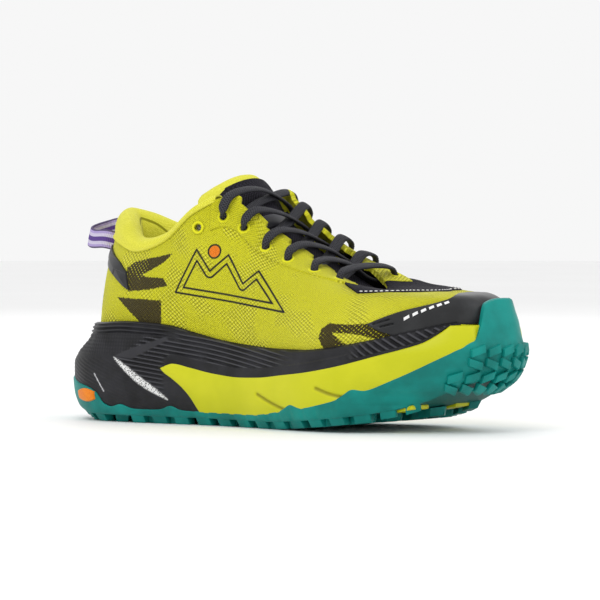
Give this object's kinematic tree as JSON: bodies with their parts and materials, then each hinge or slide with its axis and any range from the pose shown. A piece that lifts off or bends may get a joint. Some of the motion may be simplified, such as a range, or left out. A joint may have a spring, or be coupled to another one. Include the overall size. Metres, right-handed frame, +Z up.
{
  "type": "running shoe",
  "caption": "Thick-soled trail running shoe for the right foot, with lugged outsole, two-layer foam midsole, woven upper, lace, padded collar and tongue, and heel pull loop.",
  "frame": {"origin": "on the ground, at the middle of the shoe's length and width", "axes": "+X from heel to toe, +Y to the medial side, -Y to the lateral side, +Z up"},
  "size_m": [0.3076, 0.1118, 0.1475],
  "materials": {
    "rubber_teal": "matte moulded rubber",
    "badge_orange": "smooth rubber",
    "foam_yellow": "smooth moulded foam skin",
    "foam_black": "ribbed moulded foam",
    "weave_yellow": "fine textured weave",
    "lining_yellow": "brushed knit over foam",
    "film_black": "satin film",
    "mesh_black": "open mesh",
    "lace_black": "braided lace",
    "webbing_lilac": "flat webbing, striped",
    "board_white": "pressed fibre",
    "inner_foam": "open-cell foam",
    "sock_cloth": "fine knit"
  },
  "bodies": {
    "shoe": {"outsole": "rubber_teal", "heel_badge": "badge_orange", "midsole_lower": "foam_yellow", "midsole_upper": "foam_black", "strobel_board": "board_white", "woven_upper": "weave_yellow", "toe_cap": "film_black", "toe_puff": "board_white", "heel_counter": "board_white", "vamp_panel": "mesh_black", "collar_foam": "inner_foam", "collar_lining": "lining_yellow", "heel_overlay_lateral": "film_black", "heel_overlay_medial": "film_black", "eyestay_lateral": "weave_yellow", "eyestay_medial": "weave_yellow", "tongue_gusset_lateral": "mesh_black", "tongue_gusset_medial": "mesh_black", "tongue_face": "mesh_black", "tongue_foam": "inner_foam", "tongue_lining": "lining_yellow", "lace_keeper": "film_black", "lace": "lace_black", "aglet_lateral": "film_black", "aglet_medial": "film_black"},
    "tongue_top": {"tongue_top_face": "mesh_black", "tongue_top_pad": "lining_yellow"},
    "pull_loop": {"pull_loop": "webbing_lilac"},
    "sockliner": {"sockliner": "inner_foam", "sockliner_cover": "sock_cloth"}
  },
  "joints": [
    {"name": "tongue_fold", "type": "hinge", "parent": "shoe", "child": "tongue_top", "pos_m": [-0.02537, 0, 0.12716], "axis": [0, 1, 0], "range_deg": [-12, 12]},
    {"name": "pull_loop_swing", "type": "hinge", "parent": "shoe", "child": "pull_loop", "pos_m": [-0.13172, -0.01225, 0.10746], "axis": [0.0326, 0.9894, 0.1416], "range_deg": [-20, 20]},
    {"name": "sockliner_lift", "type": "hinge", "parent": "shoe", "child": "sockliner", "pos_m": [0.136, 0, 0.0625], "axis": [0, 1, 0], "range_deg": [0, 3]}
  ]
}
